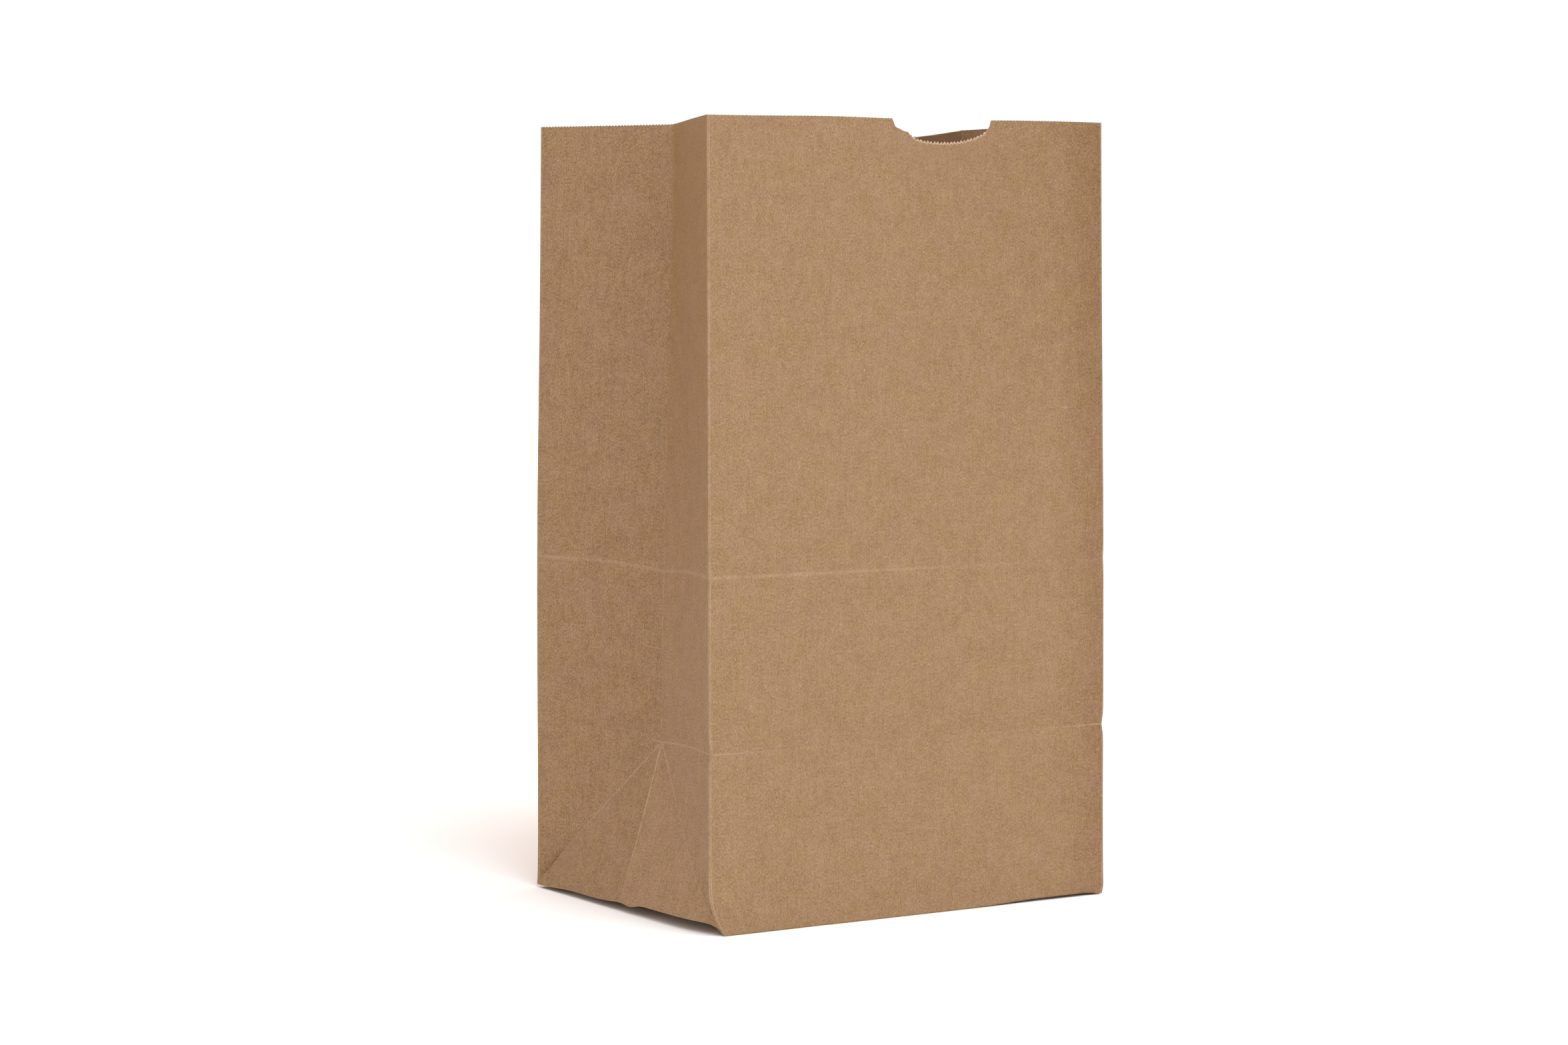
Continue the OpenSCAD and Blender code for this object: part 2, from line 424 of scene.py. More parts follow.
def mark_sharp_edges(mesh, flat):
    """The rim and the folds of a side stay sharp."""
    rim = {tuple(sorted(k)) for p in mesh.polygons if p.material_index == 2 for k in p.edge_keys}
    sharp = np.array([tuple(sorted(e.vertices)) in rim for e in mesh.edges])
    ends = np.array([tuple(e.vertices) for e in mesh.edges])
    across = np.abs(flat[:, 0]) - HALF_W
    on_centre = np.abs(across - HALF_D) < 1e-3
    on_diagonal = np.abs(np.minimum(across, 2 * HALF_D - across) - flat[:, 1]) < 1e-3
    for fold in (on_centre, on_diagonal):
        sharp |= fold[ends[:, 0]] & fold[ends[:, 1]]
    layer = mesh.attributes.new("sharp_edge", "BOOLEAN", "EDGE")
    layer.data.foreach_set("value", sharp)


FOOT_ZONE, LOW_ZONE = 27, 45  # heights up to which the rows are closest together, and fairly close
NOTCH_ZONE = 25               # below the cut, where the rows make room for the notch
EDGE_STRIP = 2.2              # height of the strip above the last full row, which holds the teeth
FOLD_ZONE = 5                 # on either side of a storage fold
FRINGE = 6                    # points of a cut edge for each column below it
FOOT_TURN = 0.45              # how far the foot of a wall turns under the bag


def steps(*spans):
    """Values over spans given as (start, end, spacing), each start following the last end."""
    values = [spans[0][0]]
    for start, end, spacing in spans:
        count = max(1, round((end - start) / spacing))
        values += list(start + (end - start) * (np.arange(count) + 1) / count)
    return np.array(values)


CUT_START = HEIGHT - NOTCH_ZONE
# Heights of the rows that all panels share, closer together at the folds
ROWS = steps(
    (0, FOOT_ZONE, 0.75),
    (FOOT_ZONE, LOW_ZONE, 1.5),
    (LOW_ZONE, FIRST_FOLD - FOLD_ZONE, 3),
    (FIRST_FOLD - FOLD_ZONE, FIRST_FOLD, 0.5),
    (FIRST_FOLD, FIRST_FOLD + FOLD_ZONE, 0.5),
    (FIRST_FOLD + FOLD_ZONE, SECOND_FOLD - FOLD_ZONE, 3),
    (SECOND_FOLD - FOLD_ZONE, SECOND_FOLD + FOLD_ZONE, 0.5),
    (SECOND_FOLD + FOLD_ZONE, CUT_START, 3),
    (CUT_START, HEIGHT - EDGE_STRIP, 1.5),
)
FOOT = ROWS[11]  # up to here the gusset panel reaches the side edge, and the outer triangle is left out


# ---------------------------------------------------------------- cut edges
NOTCH_MIDDLE, NOTCH_HALF, NOTCH_DEPTH = 15.3, 26.2, 9.3
NOTCH_SHELF, NOTCH_SHOULDER = 1.1, 0.045  # how much shallower it is on the left, and the shoulders' share
TEETH, FRONT_TEETH, TEETH_PITCH = 0.5, 0.2, 1.7


def saw(x, pitch, shift=0.0):
    """Zigzag from 0 to 1."""
    return np.abs(((x / pitch + shift) % 1.0) * 2 - 1)


def knife_teeth(x, size=TEETH):
    """The fine serration that the cutter leaves."""
    return -size * saw(x, TEETH_PITCH)


def notch_share(x):
    """Place in the notch, from -1 at its left end to 1 at its right end."""
    return (x - NOTCH_MIDDLE) / NOTCH_HALF


def notch_profile(x):
    """Depth of the thumb notch: nearly half an ellipse with rounded shoulders, shallower on the left."""
    share = notch_share(x)
    ellipse = np.sqrt(np.clip(1 - np.abs(share) ** 2.05, 0, 1))
    depth = NOTCH_DEPTH * ellipse - NOTCH_SHELF * bell((share + 0.72) / 0.16)
    return np.clip(depth, 0, None) * ramp(np.abs(share), 1, 1 - NOTCH_SHOULDER)


def notch_torn(x):
    """1 where the notch is torn, 0 where it is cut clean."""
    share = notch_share(x)
    return ramp(share, -0.70, -0.58) * ramp(share, 0.94, 0.86)


def notch_teeth(x):
    """Height of the notch's edge over its profile: ragged where torn, nearly smooth where cut."""
    ragged = saw(x, 1.75) + 0.25 * saw(x, 0.93, 0.3) + 0.3 * saw(x, 4.3, 0.6)
    clean = 0.35 * saw(x, 4.1, 0.2)
    inside = (notch_profile(x) > 0.6).astype(float)
    torn = notch_torn(x)
    return -inside * (torn * ragged + (1 - torn) * clean) + (1 - inside) * knife_teeth(x, FRONT_TEETH)


# ---------------------------------------------------------------- walls
def wall_columns(side):
    """Places across the flat part of a wall: closer together at the notch, or at the seam's step."""
    flat = HALF_W - 3
    if side < 0:
        low, high = NOTCH_MIDDLE - NOTCH_HALF - 2, NOTCH_MIDDLE + NOTCH_HALF + 2
        return steps((-flat, low, 2), (low, high, 0.75), (high, flat, 2))
    step, edge = SEAM_RIGHT, 0.04
    return steps((-flat, step - 1, 2), (step - 1, step - edge, 0.48), (step - edge, step + edge, 2 * edge),
                 (step + edge, step + 1, 0.48), (step + 1, flat, 2))


def wall_row(side, v, columns):
    """Points of one row of a wall, from one rounded edge to the other, and their places on the flat sheet."""
    up, out, foot = wall_frame(side)
    reach = float(edge_reach(v))
    radius = float(edge_radius(v))
    wrap = math.pi / 2 + TURN
    bend = np.linspace(0, 1, 7)[1:]
    end = HALF_W - reach
    x = np.concatenate([[-end], columns * (end / columns[-1]), [end]])
    x = np.unique(np.round(x, 6))
    centre = foot + v * up - radius * out
    _, flat_y, flat_z = centre + radius * out
    ideal = [np.stack([x, np.full_like(x, flat_y), np.full_like(x, flat_z)], -1)]
    u = [x]
    arc = np.stack([np.sin(bend * wrap), np.cos(bend * wrap)], -1)
    for sign in SIDES:
        pivot = centre + np.array([sign * end, 0, 0])
        points = pivot + radius * (arc[:, :1] * np.array([sign, 0, 0]) + arc[:, 1:] * out)
        place = sign * (end + 2 * reach * bend)
        if sign < 0:
            ideal.insert(0, points[::-1])
            u.insert(0, place[::-1])
        else:
            ideal.append(points)
            u.append(place)
    return np.concatenate(ideal), np.concatenate(u)


def wall_sheet(side):
    """The front or back wall, with its rounded side edges and its cut top."""
    sheet = Sheet()
    columns = wall_columns(side)
    up, _, _ = wall_frame(side)
    rows, places = [], []
    for v in (0.0, *ROWS):
        points, u = wall_row(side, max(v, LOWEST), columns)
        cut = edge_cut(side, u) * max(0.0, (v - CUT_START) / (ROWS[-1] - CUT_START)) ** 1.5
        rows.append(points - cut[:, None] * up)
        places.append(u)
    rows, places = np.array(rows), np.array(places)
    rows[0, :, 1] -= side * FOOT_TURN
    levels = np.repeat(np.append(0.0, ROWS)[:, None], rows.shape[1], 1)
    ids = sheet.add_grid(rows, sheet_place(side, places), levels)
    fine_edge(sheet, side, ids[-1], rows[-1], places[-1], up)
    return sheet


def finer(values, per):
    """The same values with others evenly between them, so that each step becomes as many as per says."""
    share = np.arange(per) / per
    return np.concatenate([(values[:-1, None] + np.diff(values)[:, None] * share).ravel(), values[-1:]])


def edge_cut(side, x):
    """How far the top edge of a wall is cut away."""
    return notch_profile(x) if side < 0 else np.zeros_like(x)


def sheet_place(side, x):
    """Place across the flat sheet: the front is in the middle, and the back follows the left side.

    The same rule turns a place on the sheet back into a place across the wall.
    """
    return x if side < 0 else -(2 * HALF_W + 2 * HALF_D + x)


def fine_edge(sheet, side, below, points, u, up):
    """The cut edge above the last full row."""
    x = finer(u, FRINGE)
    base = np.stack([np.interp(x, u, points[:, i]) for i in range(3)], -1)
    teeth = notch_teeth(x) if side < 0 else knife_teeth(x)
    torn = notch_torn(x) * (notch_profile(x) > 1.5) if side < 0 else np.zeros_like(x)
    lift = HEIGHT - ROWS[-1] + teeth
    fine = sheet.add_points(base + lift[:, None] * up, sheet_place(side, x), HEIGHT + teeth, torn)
    sheet.faces += fringe_faces(below, fine, FRINGE)


FLAT_EDGE = 1.2     # width of the strip beside the rounded edge that stays flat
WALL_BULGE = 1.3    # how much fuller than flat a wall is
CORNER_BULGE = 0.9  # beside the tucked foot
SEAM_STEP = 0.26    # height of the seam's step on the back


def near_top(v):
    """Less than 1 near the mouth, where the ripples get smaller."""
    return smooth((HEIGHT + 2 - v) / 30 + 0.35)


def wall_relief(side):
    """How far the real wall stands out from the ideal one, as a function of the place on the sheet."""
    def relief(u, v):
        x = sheet_place(side, u)
        to_edge = HALF_W - FLAT_EDGE - x
        from_edge = np.clip(HALF_W - FLAT_EDGE - np.abs(x), 0, None)
        rise = ripple(u, v) * smooth(from_edge / 14) * smooth(v / 14) * near_top(v)
        rise = rise + WALL_BULGE * (1 - np.exp(-from_edge / 8)) * (1 - np.exp(-v / 9))
        first_fold = 0.3 + 0.75 * ramp(x, -70, 100)
        rise = rise + storage_folds(x, v, first_fold, 0.45) * smooth(from_edge / 3)
        if side < 0:
            return rise + CORNER_BULGE * bell((x + HALF_W - 7) / 7) * bell((v - 15) / 9)
        return rise - SEAM_STEP * smooth((x - SEAM_RIGHT) / 0.06) * smooth(to_edge / 14)
    return relief


# ---------------------------------------------------------------- sides
def half_place(s, flip_x, flip_y):
    """Place across the flat sheet of a point s from the side edge."""
    across = HALF_W + (2 * HALF_D - s if flip_y else s)
    return across if flip_x else -across


CORNER_PULL = 3.0  # how far the panel beside a back corner pulls in behind the slanting fold
CRUMPLE = 0.6      # width and depth of the small creases near the left side's front corner
# Distance from the side edge and height, at both ends of each crease
CRUMPLES = (((7.5, 24), (10.5, 15)), ((6.5, 24), (0.8, 17)), ((16, 9), (6, 17)), ((6, 17), (2, 13)))


def side_relief(u, v):
    """How far a real side stands out from the ideal one, at a place on the sheet."""
    s = np.abs(u) - HALF_W
    from_edge = np.minimum(s, 2 * HALF_D - s)
    back = s > HALF_D
    rise = 0.8 * ripple(u, v) * smooth((from_edge - 1.2) / 14) * smooth(v / 16) * near_top(v)
    folds = storage_folds(np.full_like(s, -HALF_W), v, np.where(back, 0.15, 0.45), 0.2)
    rise = rise + folds * smooth((from_edge - 1.0) / 3) * smooth(v / 60)
    above = v - from_edge
    pull = CORNER_PULL * np.where(back, 1.0, 0.25) * ramp(from_edge, 39, 3) * smooth((from_edge - 0.6) / 4)
    rise = rise - pull * smooth(above / 2.5) * np.exp(-np.clip(above - 2, 0, None) / 6)
    for start, end in CRUMPLES:
        rise = rise + np.where((u < 0) & ~back, dent(s, v, start, end, CRUMPLE, CRUMPLE), 0.0)
    return rise


def outer_sheet(flip_x, flip_y):
    """Triangle beside a wall, from the rounded edge to the diagonal."""
    sheet = Sheet()
    w = np.linspace(0, 1, 37)
    v = np.repeat(ROWS[ROWS >= FOOT][:, None], len(w), 1)
    s = edge_reach(v) + (diagonal(v) - edge_reach(v)) * w * (v > FOOT)
    points = mirrored(outer_triangle(s, v), flip_x, flip_y)
    ids = sheet.add_grid(points, half_place(s, flip_x, flip_y), v)
    # the cut edge above the last full row reaches from the rounded edge to the centre crease
    share = finer(w, FRINGE)
    top_s = edge_reach(HEIGHT) + (HALF_D - edge_reach(HEIGHT)) * share
    teeth = knife_teeth(top_s) * (1.0 if flip_y else 0.25)
    top_v = HEIGHT + teeth * np.minimum(1, (HALF_D - top_s) / 1.5)
    fine = mirrored(outer_triangle(top_s, top_v), flip_x, flip_y)
    ids_fine = sheet.add_points(fine, half_place(top_s, flip_x, flip_y), top_v)
    sheet.faces += fringe_faces(ids[-1], ids_fine, FRINGE)
    return sheet


def inner_sheet(flip_x):
    """Everything between the two diagonals of a side: facets, centre crease and lower triangle."""
    sheet = Sheet()
    w = np.linspace(0, 1, 25)
    rows = np.append(np.maximum(ROWS, LOWEST), HEIGHT)
    v = np.repeat(rows[:, None], len(w), 1)
    start, end = np.where(v > FOOT, diagonal(v), edge_reach(v)), np.minimum(v, HALF_D)
    s = start + (end - start) * w
    low_v = v[rows <= HALF_D + LOWEST]
    low_s = low_v + (HALF_D - low_v) * w
    for flip_y in (False, True):
        order = -1 if flip_y else 1  # both halves keep the same face on the outside
        for surface, across, up in ((inner_facet, s, v), (lower_triangle, low_s, low_v)):
            points = mirrored(surface(across, up), flip_x, flip_y)
            place = half_place(across, flip_x, flip_y)
            sheet.add_grid(points[:, ::order], place[:, ::order], up[:, ::order])
    return sheet


# ---------------------------------------------------------------- bottom
BOTTOM_PLACE = 900  # place of the bottom across the sheet, clear of the walls and sides
TUCK_GAP = 0.4      # between the wall of a side and its tucked flap
TUCK_CURL = 0.9     # how far the end of a tucked flap curls up


def plate(x, y, height):
    """A level sheet in the bottom. The height is a function of y."""
    sheet = Sheet()
    xx, yy = np.meshgrid(x, y)
    sheet.add_grid(np.stack([xx, yy, height(yy)], -1), xx + BOTTOM_PLACE, yy)
    return sheet


def flat_at(z):
    """Height function of a flat sheet."""
    return lambda y: np.full_like(y, z)


def lap_height(y):
    """Height of the back flap, which steps up over the front flap."""
    return LAP_Z * ramp(y, LAP_STEP + 0.2, LAP_STEP - 0.8)


def tuck_sheet(flip_x):
    """The flap at the foot of a side, which gets narrower inwards."""
    sheet = Sheet()
    depth, share = np.meshgrid(steps((0, TUCK_IN, 2.5)), np.linspace(-1, 1, 41))
    half = TUCK_HALF - depth
    x = -HALF_W + depth + TUCK_GAP
    z = TUCK_Z + TUCK_CURL * ramp(depth, TUCK_IN - 18, TUCK_IN) * (0.4 + 0.6 * share ** 2)
    points = np.stack([x, half * share, z], -1)
    sheet.add_grid(mirrored(points, flip_x, False), half_place(-depth, flip_x, False), half * share)
    return sheet


def strip_on_back(left, right, low, high, lift):
    """A strip on the inner side of the back wall."""
    up, out, foot = wall_frame(1)
    sheet = Sheet()
    xx, vv = np.meshgrid(steps((left, right, 1.25)), steps((low, high, 3)))
    points = foot + vv[..., None] * up + np.stack([xx, 0 * xx, 0 * xx], -1) - lift * out
    sheet.add_grid(points, sheet_place(1, xx), vv)
    return sheet


# ---------------------------------------------------------------- materials
GRAIN = 0.047                     # strength of the grain in linear green
EVEN_STEP = (1.39, 1.03, 0.73)    # linear steps that look equal on kraft brown
SHADED_GRAIN = 1.3                # times as strong off the front, where the same grain would look too weak
FIBRE_STRETCH = (1.4, 0.28, 1.0)  # fibres are long and thin
# dark of the specks, also used for the painted shadow line at the back's seam
SPECK_AND_SEAM_SHADOW = (0.07, 0.04, 0.022, 1)
# darker, warmer tone of painted shade and painted bounce light on the side's front half towards the top
PAINTED_BOUNCE_TONE = (0.26, 0.13, 0.035, 1)


class Nodes:
    """A small helper that adds and links shader nodes."""

    def __init__(self, name):
        self.material = bpy.data.materials.new(name)
        self.material.use_nodes = True
        self.tree = self.material.node_tree
        self.tree.nodes.clear()

    def sheet_vector(self):
        """Place on the flat sheet."""
        self.vector = self.add("ShaderNodeAttribute", attribute_name="sheet").outputs["Vector"]
        return self.vector

    def add(self, kind, values=None, **settings):
        node = self.tree.nodes.new(kind)
        for key, value in settings.items():
            setattr(node, key, value)
        for key, value in (values or {}).items():
            if isinstance(value, bpy.types.NodeSocket):
                self.tree.links.new(value, node.inputs[key])
            else:
                node.inputs[key].default_value = value
        return node

    def math(self, operation, a, b=0.0):
        return self.add("ShaderNodeMath", {0: a, 1: b}, operation=operation).outputs[0]

    def times(self, *values):
        """Product of two or more values."""
        product = values[0]
        for value in values[1:]:
            product = self.math("MULTIPLY", product, value)
        return product

    def plus(self, *values):
        """Sum of two or more values."""
        total = values[0]
        for value in values[1:]:
            total = self.math("ADD", total, value)
        return total

    def spread(self, value, low, high, to_low=0.0, to_high=1.0):
        """Smooth step from to_low, where value is low, to to_high, where it is high."""
        node = self.add("ShaderNodeMapRange", {
            "Value": value, "From Min": low, "From Max": high, "To Min": to_low, "To Max": to_high,
        }, interpolation_type="SMOOTHSTEP")
        return node.outputs[0]

    def noise(self, vector, scale, detail=2.0, roughness=0.5, stretch=(1, 1, 1), shift=0.0, turn=0.0):
        if turn:
            vector = self.add("ShaderNodeMapping", {"Vector": vector, "Rotation": (0, 0, turn)}).outputs[0]
        moved = self.add("ShaderNodeMapping", {
            "Vector": vector, "Scale": stretch, "Location": (shift, 0.7 * shift, 0.3 * shift)})
        node = self.add("ShaderNodeTexNoise", {
            "Vector": moved.outputs[0], "Scale": scale, "Detail": detail, "Roughness": roughness})
        return node.outputs[0]

    def mix(self, share, a, b):
        """Colour a where share is 0, and b where it is 1."""
        share_socket, a_socket, b_socket, colour_output = 0, 6, 7, 2
        node = self.add("ShaderNodeMix", {share_socket: share}, data_type="RGBA")
        for socket, value in ((node.inputs[a_socket], a), (node.inputs[b_socket], b)):
            if isinstance(value, bpy.types.NodeSocket):
                self.tree.links.new(value, socket)
            else:
                socket.default_value = value
        return node.outputs[colour_output]

    def finish(self, colour, rough, height, strength, distance, shine):
        """Rough or shiny surface with a bump, on the material's output."""
        bump = self.add("ShaderNodeBump", {"Height": height, "Strength": strength, "Distance": distance})
        surface = self.add("ShaderNodeBsdfPrincipled", {
            "Base Color": colour, "Roughness": rough, "Normal": bump.outputs[0], "Specular IOR Level": shine})
        self.add("ShaderNodeOutputMaterial", {"Surface": surface.outputs[0]})
        return self.material


def line(nodes, value, place, width):
    """1 on the line where value equals place, falling to 0 at width."""
    away = nodes.math("ABSOLUTE", nodes.math("SUBTRACT", value, place))
    return nodes.spread(away, 0.0, width, 1.0, 0.0)


def fold_lines(nodes, across, up):
    """Pale worn lines on the folds, from the place on the flat sheet."""
    far = nodes.math("ABSOLUTE", across)
    centre = HALF_W + HALF_D
    lines = []

    def put(strength, *masks):
        lines.append(nodes.times(*masks, strength))

    # on and beside the edges between walls and sides
    for edge in (HALF_W, HALF_W + 2 * HALF_D, 3 * HALF_W + 2 * HALF_D):
        for beside, width, strength in ((-0.25, 0.35, 0.9), (-1.15, 0.4, 0.8), (0.9, 0.4, 0.45)):
            put(strength, line(nodes, far, edge + beside, width))
    # the centre crease, stronger below the first storage fold
    put(0.25, line(nodes, far, centre, 0.5))
    low = nodes.spread(up, FIRST_FOLD - 1, FIRST_FOLD + 1, 1.0, 0.0)
    put(1.3, line(nodes, far, centre, 0.8), low, nodes.spread(up, 0, 40))
    # the slanting creases of the lower side triangle
    for direction, edge in ((1, HALF_W), (-1, HALF_W + 2 * HALF_D)):
        from_edge = nodes.times(nodes.math("SUBTRACT", far, edge), direction)
        away = nodes.math("SUBTRACT", from_edge, up)
        put(0.85, line(nodes, away, 0.0, 0.9), low, nodes.spread(up, 0, 70, 0.3, 1.0))
    # the two storage folds
    before_back = nodes.spread(far, centre + 2, centre + 12, 1.0, 0.0)
    put(nodes.spread(far, 60, 110, 0.22, 0.8), line(nodes, up, FIRST_FOLD, 0.6), before_back)
    put(nodes.spread(across, -60, 90, 0.5, 0.12), line(nodes, up, SECOND_FOLD - 0.4, 1.3))
    total = lines[0]
    for worn in lines[1:]:
        total = nodes.math("MAXIMUM", total, worn)
    broken = nodes.spread(nodes.noise(nodes.vector, 0.25, 2.0), 0.3, 0.62, 0.35, 1.0)
    return nodes.times(total, broken)


def front_half(nodes, across):
    """1 on the front half of the left side."""
    centre = -HALF_W - HALF_D
    return nodes.times(nodes.spread(across, centre - 1, centre), nodes.spread(across, -HALF_W, -HALF_W - 1))


def painted_shade(nodes, across, up):
    """Painted shade: a darker tone on the front's right edge and upper right, and on the side's front half
    near the top, which is painted a little lighter low down.
    """
    on_front = nodes.spread(across, HALF_W, HALF_W + 1, 1.0, 0.0)
    edge = nodes.spread(across, 70, HALF_W, 0.0, 0.6 * GRAIN)
    upper = nodes.times(nodes.spread(across, -30, 90, 0.0, 0.35 * GRAIN), nodes.spread(up, 150, 330))
    side = nodes.times(front_half(nodes, across), nodes.spread(up, 40, 330, -0.35 * GRAIN, 0.3 * GRAIN))
    return nodes.plus(nodes.times(nodes.plus(edge, upper), on_front), side)


def grain_level(nodes, grain, mottle, streak):
    """Lightness of the paper's grain: fine, streaky, mottled and in larger patches."""
    patches = nodes.noise(nodes.vector, 0.1, 3.0, 0.5, shift=7.0)
    return nodes.plus(
        nodes.spread(grain, 0.25, 0.75, -GRAIN, GRAIN),
        nodes.spread(mottle, 0.3, 0.7, -0.2 * GRAIN, 0.2 * GRAIN),
        nodes.spread(streak, 0.3, 0.7, -0.15 * GRAIN, 0.15 * GRAIN),
        nodes.spread(patches, 0.3, 0.7, -0.12 * GRAIN, 0.12 * GRAIN),
    )


def specks_and_fibres(nodes, colour, dark, pale):
    """Dark specks, and pale fibres in three directions."""
    speck = nodes.noise(nodes.vector, 1.3, 1.0, 0.4, shift=11.0)
    colour = nodes.mix(nodes.spread(speck, 0.77, 0.80, 0.0, 0.75), colour, dark)
    for turn in (0.2, 1.3, 2.4):
        fibre = nodes.noise(nodes.vector, 1.5, 1.0, 0.4, FIBRE_STRETCH, shift=83.0 * turn, turn=turn)
        colour = nodes.mix(nodes.spread(fibre, 0.735, 0.77, 0.0, 0.4), colour, pale)
    return colour


def wear_and_seam_shadow(nodes, colour, across, up, grain, dark, pale):
    """The marks that only the outside has: pale folds, a painted shadow line beside the seam's step with a
    pale line along its edge, and the frayed notch.
    """
    colour = nodes.mix(nodes.times(fold_lines(nodes, across, up), 0.55), colour, pale)
    seam = sheet_place(1, SEAM_RIGHT)
    # painted shadow: a dark line on the low side of the seam's step
    colour = nodes.mix(nodes.times(line(nodes, across, seam - 0.3, 0.55), 0.6), colour, dark)
    colour = nodes.mix(nodes.times(line(nodes, across, seam + 0.35, 0.4), 0.5), colour, pale)
    torn = nodes.add("ShaderNodeAttribute", attribute_name="torn").outputs["Fac"]
    fray = nodes.spread(nodes.plus(torn, nodes.times(grain, 0.5)), 0.6, 0.95)
    return nodes.mix(nodes.times(fray, 0.95), colour, pale)


def paper_material(name, pink, yellow, pale, dark=SPECK_AND_SEAM_SHADOW, outside=False):
    """Uncoated kraft paper: cloudy tone, fine streaky grain, specks, fibres and worn folds; on the outside
    also painted shade, painted bounce light and a painted shadow line at the seam.
    """
    nodes = Nodes(name)
    place = nodes.add("ShaderNodeSeparateXYZ", {0: nodes.sheet_vector()})
    across, up = place.outputs[0], place.outputs[1]
    cloud = nodes.noise(nodes.vector, 0.07, 3.0, 0.6)
    tone = nodes.mix(nodes.spread(cloud, 0.32, 0.68), pink, yellow)
    grain = nodes.noise(nodes.vector, 1.5, 3.0, 0.65, stretch=(1.0, 0.8, 1.0))
    mottle = nodes.noise(nodes.vector, 0.33, 2.0, 0.5, shift=31.0)
    streak = nodes.noise(nodes.vector, 0.9, 2.0, 0.5, stretch=(1.0, 0.15, 1.0), shift=57.0)
    level = grain_level(nodes, grain, mottle, streak)
    if outside:
        shaded = nodes.spread(nodes.math("ABSOLUTE", across), HALF_W, HALF_W + 1, 1.0, SHADED_GRAIN)
        # painted shade darkens the front's right edge and upper right and the top of the side's front half,
        # and painted light brightens that half low down
        level = nodes.math("SUBTRACT", nodes.times(level, shaded), painted_shade(nodes, across, up))
    scaled = nodes.add("ShaderNodeVectorMath", {0: level, 1: EVEN_STEP, 2: tone}, operation="MULTIPLY_ADD")
    colour = scaled.outputs[0]
    if outside:
        # painted shade and bounce light: the side's front half turns darker and warmer towards the top
        painted_bounce = nodes.times(front_half(nodes, across), nodes.spread(up, 60, 330, 0.0, 0.3))
        colour = nodes.mix(painted_bounce, colour, PAINTED_BOUNCE_TONE)
    colour = specks_and_fibres(nodes, colour, dark, pale)
    if outside:
        colour = wear_and_seam_shadow(nodes, colour, across, up, grain, dark, pale)
    height = nodes.plus(nodes.times(grain, 0.5), nodes.times(streak, 0.3))
    return nodes.finish(colour, nodes.spread(mottle, 0.3, 0.7, 0.78, 0.92), height, 0.35, 0.00012, 0.25)


def paste_material():
    """Dried paste, a little shinier than paper."""
    nodes = Nodes("dried_paste")
    cloud = nodes.noise(nodes.sheet_vector(), 0.3, 3.0, 0.6)
    colour = nodes.mix(cloud, (0.50, 0.36, 0.20, 1), (0.36, 0.24, 0.13, 1))
    return nodes.finish(colour, nodes.spread(cloud, 0.3, 0.7, 0.35, 0.55), cloud, 0.4, 0.0002, 0.4)


# ---------------------------------------------------------------- studio
WORLD_COLOUR, WORLD_STRENGTH = (1.0, 0.877, 0.818, 1), 1.0
KEY_COLOUR, KEY_ENERGY = (0.82, 0.93, 1.0), 0.743 * math.pi
KEY_ANGLE, KEY_DIRECTION = math.radians(50), (0.1, 1.0, -1.0)  # soft, from the front and above
FLOOR_HALF, FLOOR_PALE, FLOOR_DARK = 6.0, (0.97, 0.97, 0.97, 1), (0.96, 0.96, 0.96, 1)
BACKDROP_RADIUS, BACKDROP_GLOW = 9.0, 1.05


def make_studio():
    """White floor and backdrop, soft light from all round and from the front."""
    scene = bpy.context.scene
    scene.view_settings.view_transform = "Standard"
    world = bpy.data.worlds.new("studio")
    world.use_nodes = True
    background = world.node_tree.nodes["Background"]
    background.inputs["Color"].default_value = WORLD_COLOUR
    background.inputs["Strength"].default_value = WORLD_STRENGTH
    scene.world = world

    key = bpy.data.objects.new("key", bpy.data.lights.new("key", "SUN"))
    scene.collection.objects.link(key)
    key.data.energy = KEY_ENERGY
    key.data.color = KEY_COLOUR
    key.data.angle = KEY_ANGLE
    key.rotation_euler = Vector(KEY_DIRECTION).to_track_quat("-Z", "Y").to_euler()

    floor = make_floor()
    backdrop = make_backdrop()


def stage_piece(name, points, faces, nodes):
    """A piece of the stage, in metres."""
    mesh = bpy.data.meshes.new(name)
    mesh.from_pydata(points, [], faces)
    mesh.materials.append(nodes.material)
    piece = bpy.data.objects.new(name, mesh)
    bpy.context.scene.collection.objects.link(piece)
    return piece


def make_floor():
    """A wide, nearly white floor."""
    nodes = Nodes("floor")
    place = nodes.add("ShaderNodeTexCoord").outputs["Object"]
    surface = nodes.add("ShaderNodeBsdfPrincipled", {
        "Base Color": nodes.mix(nodes.noise(place, 3.0), FLOOR_PALE, FLOOR_DARK),
        "Roughness": 0.9, "Specular IOR Level": 0.0})
    nodes.add("ShaderNodeOutputMaterial", {"Surface": surface.outputs[0]})
    corners = [(x * FLOOR_HALF, y * FLOOR_HALF, 0) for x, y in ((-1, -1), (1, -1), (1, 1), (-1, 1))]
    return stage_piece("floor", corners, [(0, 1, 2, 3)], nodes)


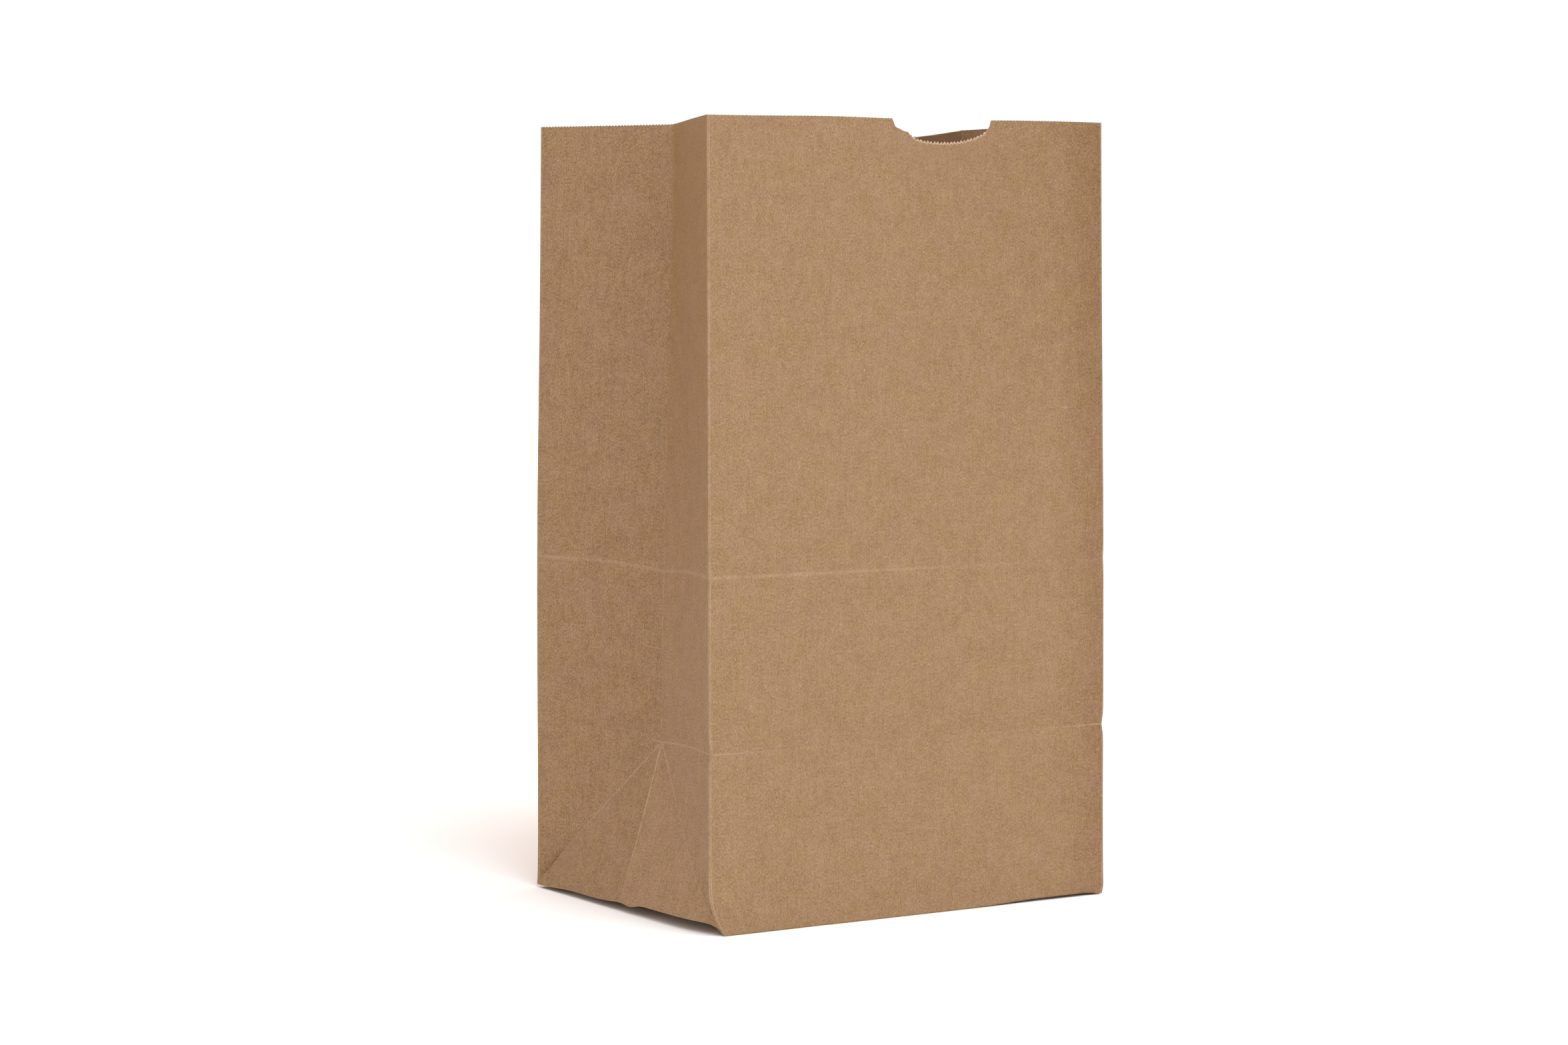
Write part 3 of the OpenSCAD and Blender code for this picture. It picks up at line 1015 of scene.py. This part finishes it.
def make_backdrop():
    """A white ball around the stage that only the camera sees."""
    rings, turns = 24, 48
    theta = np.linspace(0, math.pi, rings)
    phi = np.linspace(0, 2 * math.pi, turns + 1)
    t, p = np.meshgrid(theta, phi, indexing="ij")
    points = BACKDROP_RADIUS * np.stack([np.sin(t) * np.cos(p), np.sin(t) * np.sin(p), np.cos(t)], -1)
    nodes = Nodes("backdrop")
    glow = nodes.add("ShaderNodeEmission", {"Strength": BACKDROP_GLOW})
    nodes.add("ShaderNodeOutputMaterial", {"Surface": glow.outputs[0]})
    faces = grid_faces(rings, turns + 1).tolist()
    piece = stage_piece("backdrop", points.reshape(-1, 3).tolist(), faces, nodes)
    for ray in ("diffuse", "glossy", "transmission", "volume_scatter", "shadow"):
        setattr(piece, "visible_" + ray, False)
    return piece


def build_walls():
    for side, body in ((-1, "front"), (1, "back")):
        wall = make_shell(body + "_wall", wall_sheet(side), wall_relief(side), flip=side > 0)
        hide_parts(body + "_lower", body + "_middle", body + "_upper")
        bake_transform(wall)


def build_sides():
    for flip_x, hand in ((False, "left"), (True, "right")):
        core = make_shell(hand + "_gusset_panel", inner_sheet(flip_x), side_relief, flip=not flip_x)
        halves = [f"{hand}_{part}_{end}" for part in ("lower", "inner") for end in ("front", "back")]
        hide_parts(*halves)
        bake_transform(core)
        for flip_y, end in ((False, "front"), (True, "back")):
            outer = make_shell(f"{hand}_{end}_triangle", outer_sheet(flip_x, flip_y), side_relief,
                               flip=flip_x == flip_y)
            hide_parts(f"{hand}_outer_{end}")
            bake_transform(outer)


def build_bottom():
    x = steps((-HALF_W, HALF_W, 3))
    front_y = steps((-HALF_D, FLAP_END, 2.5))
    front = make_shell("front_bottom_flap", plate(x, front_y, flat_at(0.0)), flip=True, thickness=PAPER)
    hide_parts("front_flap")
    step_start, step_end = LAP_STEP - 1, LAP_STEP + 0.4
    back_y = steps((LAP_END, step_start, 2), (step_start, step_end, 0.2), (step_end, HALF_D, 2.5))
    back = make_shell("back_bottom_flap", plate(x, back_y, lap_height), flip=True, thickness=PAPER)
    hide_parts("back_flap", "back_flap_lap")
    pieces = [front, back]
    for flip_x, hand in ((False, "left"), (True, "right")):
        tuck = make_shell(hand + "_tucked_flap", tuck_sheet(flip_x), flip=not flip_x, thickness=PAPER)
        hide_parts(hand + "_tuck")
        pieces.append(tuck)
    for piece in pieces:
        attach(piece, "base")
    low, high = node_box("bottom_paste")
    layer = plate(steps((low[0], high[0], 3)), steps((low[1], high[1] - 1, 2)), flat_at(PAPER))
    paste = make_shell("bottom_paste_layer", layer, flip=True, thickness=LAP_Z - PAPER, materials=[PASTE] * 3)
    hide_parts("bottom_paste")
    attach(paste, "base")


def build_seam():
    top, margin = HEIGHT - 2.0, 1.2  # the paste keeps a margin from the lap's edges
    inner_lap = strip_on_back(SEAM_LEFT, SEAM_RIGHT, 2.5, top, SHELL + GLUE + 0.02)
    lap = make_shell("seam_inner_lap", inner_lap, wall_relief(1), flip=True, thickness=PAPER)
    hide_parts("seam_lap")
    paste_line = strip_on_back(SEAM_LEFT + margin, SEAM_RIGHT - margin, 4, top - 2, SHELL + 0.01)
    glue = make_shell("seam_glue_line", paste_line, wall_relief(1), flip=True, thickness=GLUE,
                      materials=[PASTE] * 3)
    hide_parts("seam_paste")
    for piece in (lap, glue):
        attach(piece, "back")


make_camera()
make_studio()
OUTSIDE = paper_material("kraft_outside", pink=(0.261, 0.158, 0.088, 1), yellow=(0.258, 0.1595, 0.079, 1),
                         pale=(0.43, 0.32, 0.22, 1), outside=True)
INSIDE = paper_material("kraft_inside", pink=(0.268, 0.158, 0.086, 1), yellow=(0.262, 0.156, 0.078, 1),
                        pale=(0.38, 0.27, 0.17, 1))
CUT_EDGE = paper_material("kraft_cut_edge", pink=(0.38, 0.28, 0.19, 1), yellow=(0.36, 0.27, 0.17, 1),
                          pale=(0.46, 0.36, 0.26, 1), dark=(0.14, 0.09, 0.05, 1))
PASTE = paste_material()
PAPER_SKINS = [OUTSIDE, INSIDE, CUT_EDGE]
build_walls()
build_sides()
build_bottom()
build_seam()
